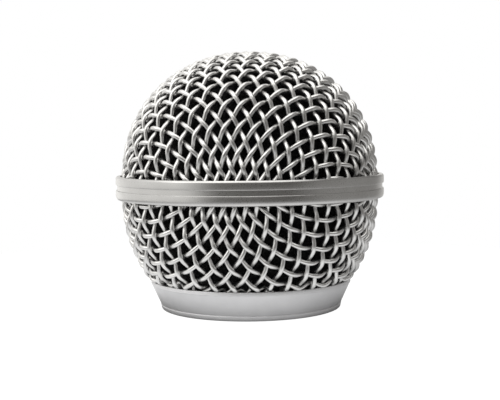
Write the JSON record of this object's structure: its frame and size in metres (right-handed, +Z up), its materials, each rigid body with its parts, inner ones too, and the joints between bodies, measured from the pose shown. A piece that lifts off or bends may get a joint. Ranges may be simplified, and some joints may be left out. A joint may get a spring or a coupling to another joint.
{
  "type": "microphone grille head",
  "caption": "Ball grille head of a handheld dynamic microphone: woven wire dome and bowl, grooved band, threaded collar and foam lining.",
  "frame": {"origin": "on the head's axis, at the centre of the collar's bottom face", "axes": "+Z up the axis, from the collar to the top of the dome; X and Y are alike, because the head is round"},
  "size_m": [0.051, 0.051, 0.0487],
  "materials": {
    "wire_cloth": "satin nickel-plated wire",
    "band_metal": "fine-grained satin plating",
    "collar_metal": "satin silver lacquer on a zinc casting",
    "hidden_steel": "blackened",
    "hidden_plastic": "matt black",
    "foam": "open-cell black foam"
  },
  "bodies": {
    "root": {"upper_mesh": "wire_cloth", "lower_mesh": "wire_cloth", "band": "band_metal", "rim_hoop": "hidden_steel", "collar": "collar_metal", "clamp_ring": "hidden_plastic", "foam_dome": "foam", "foam_sleeve": "foam"}
  },
  "joints": []
}
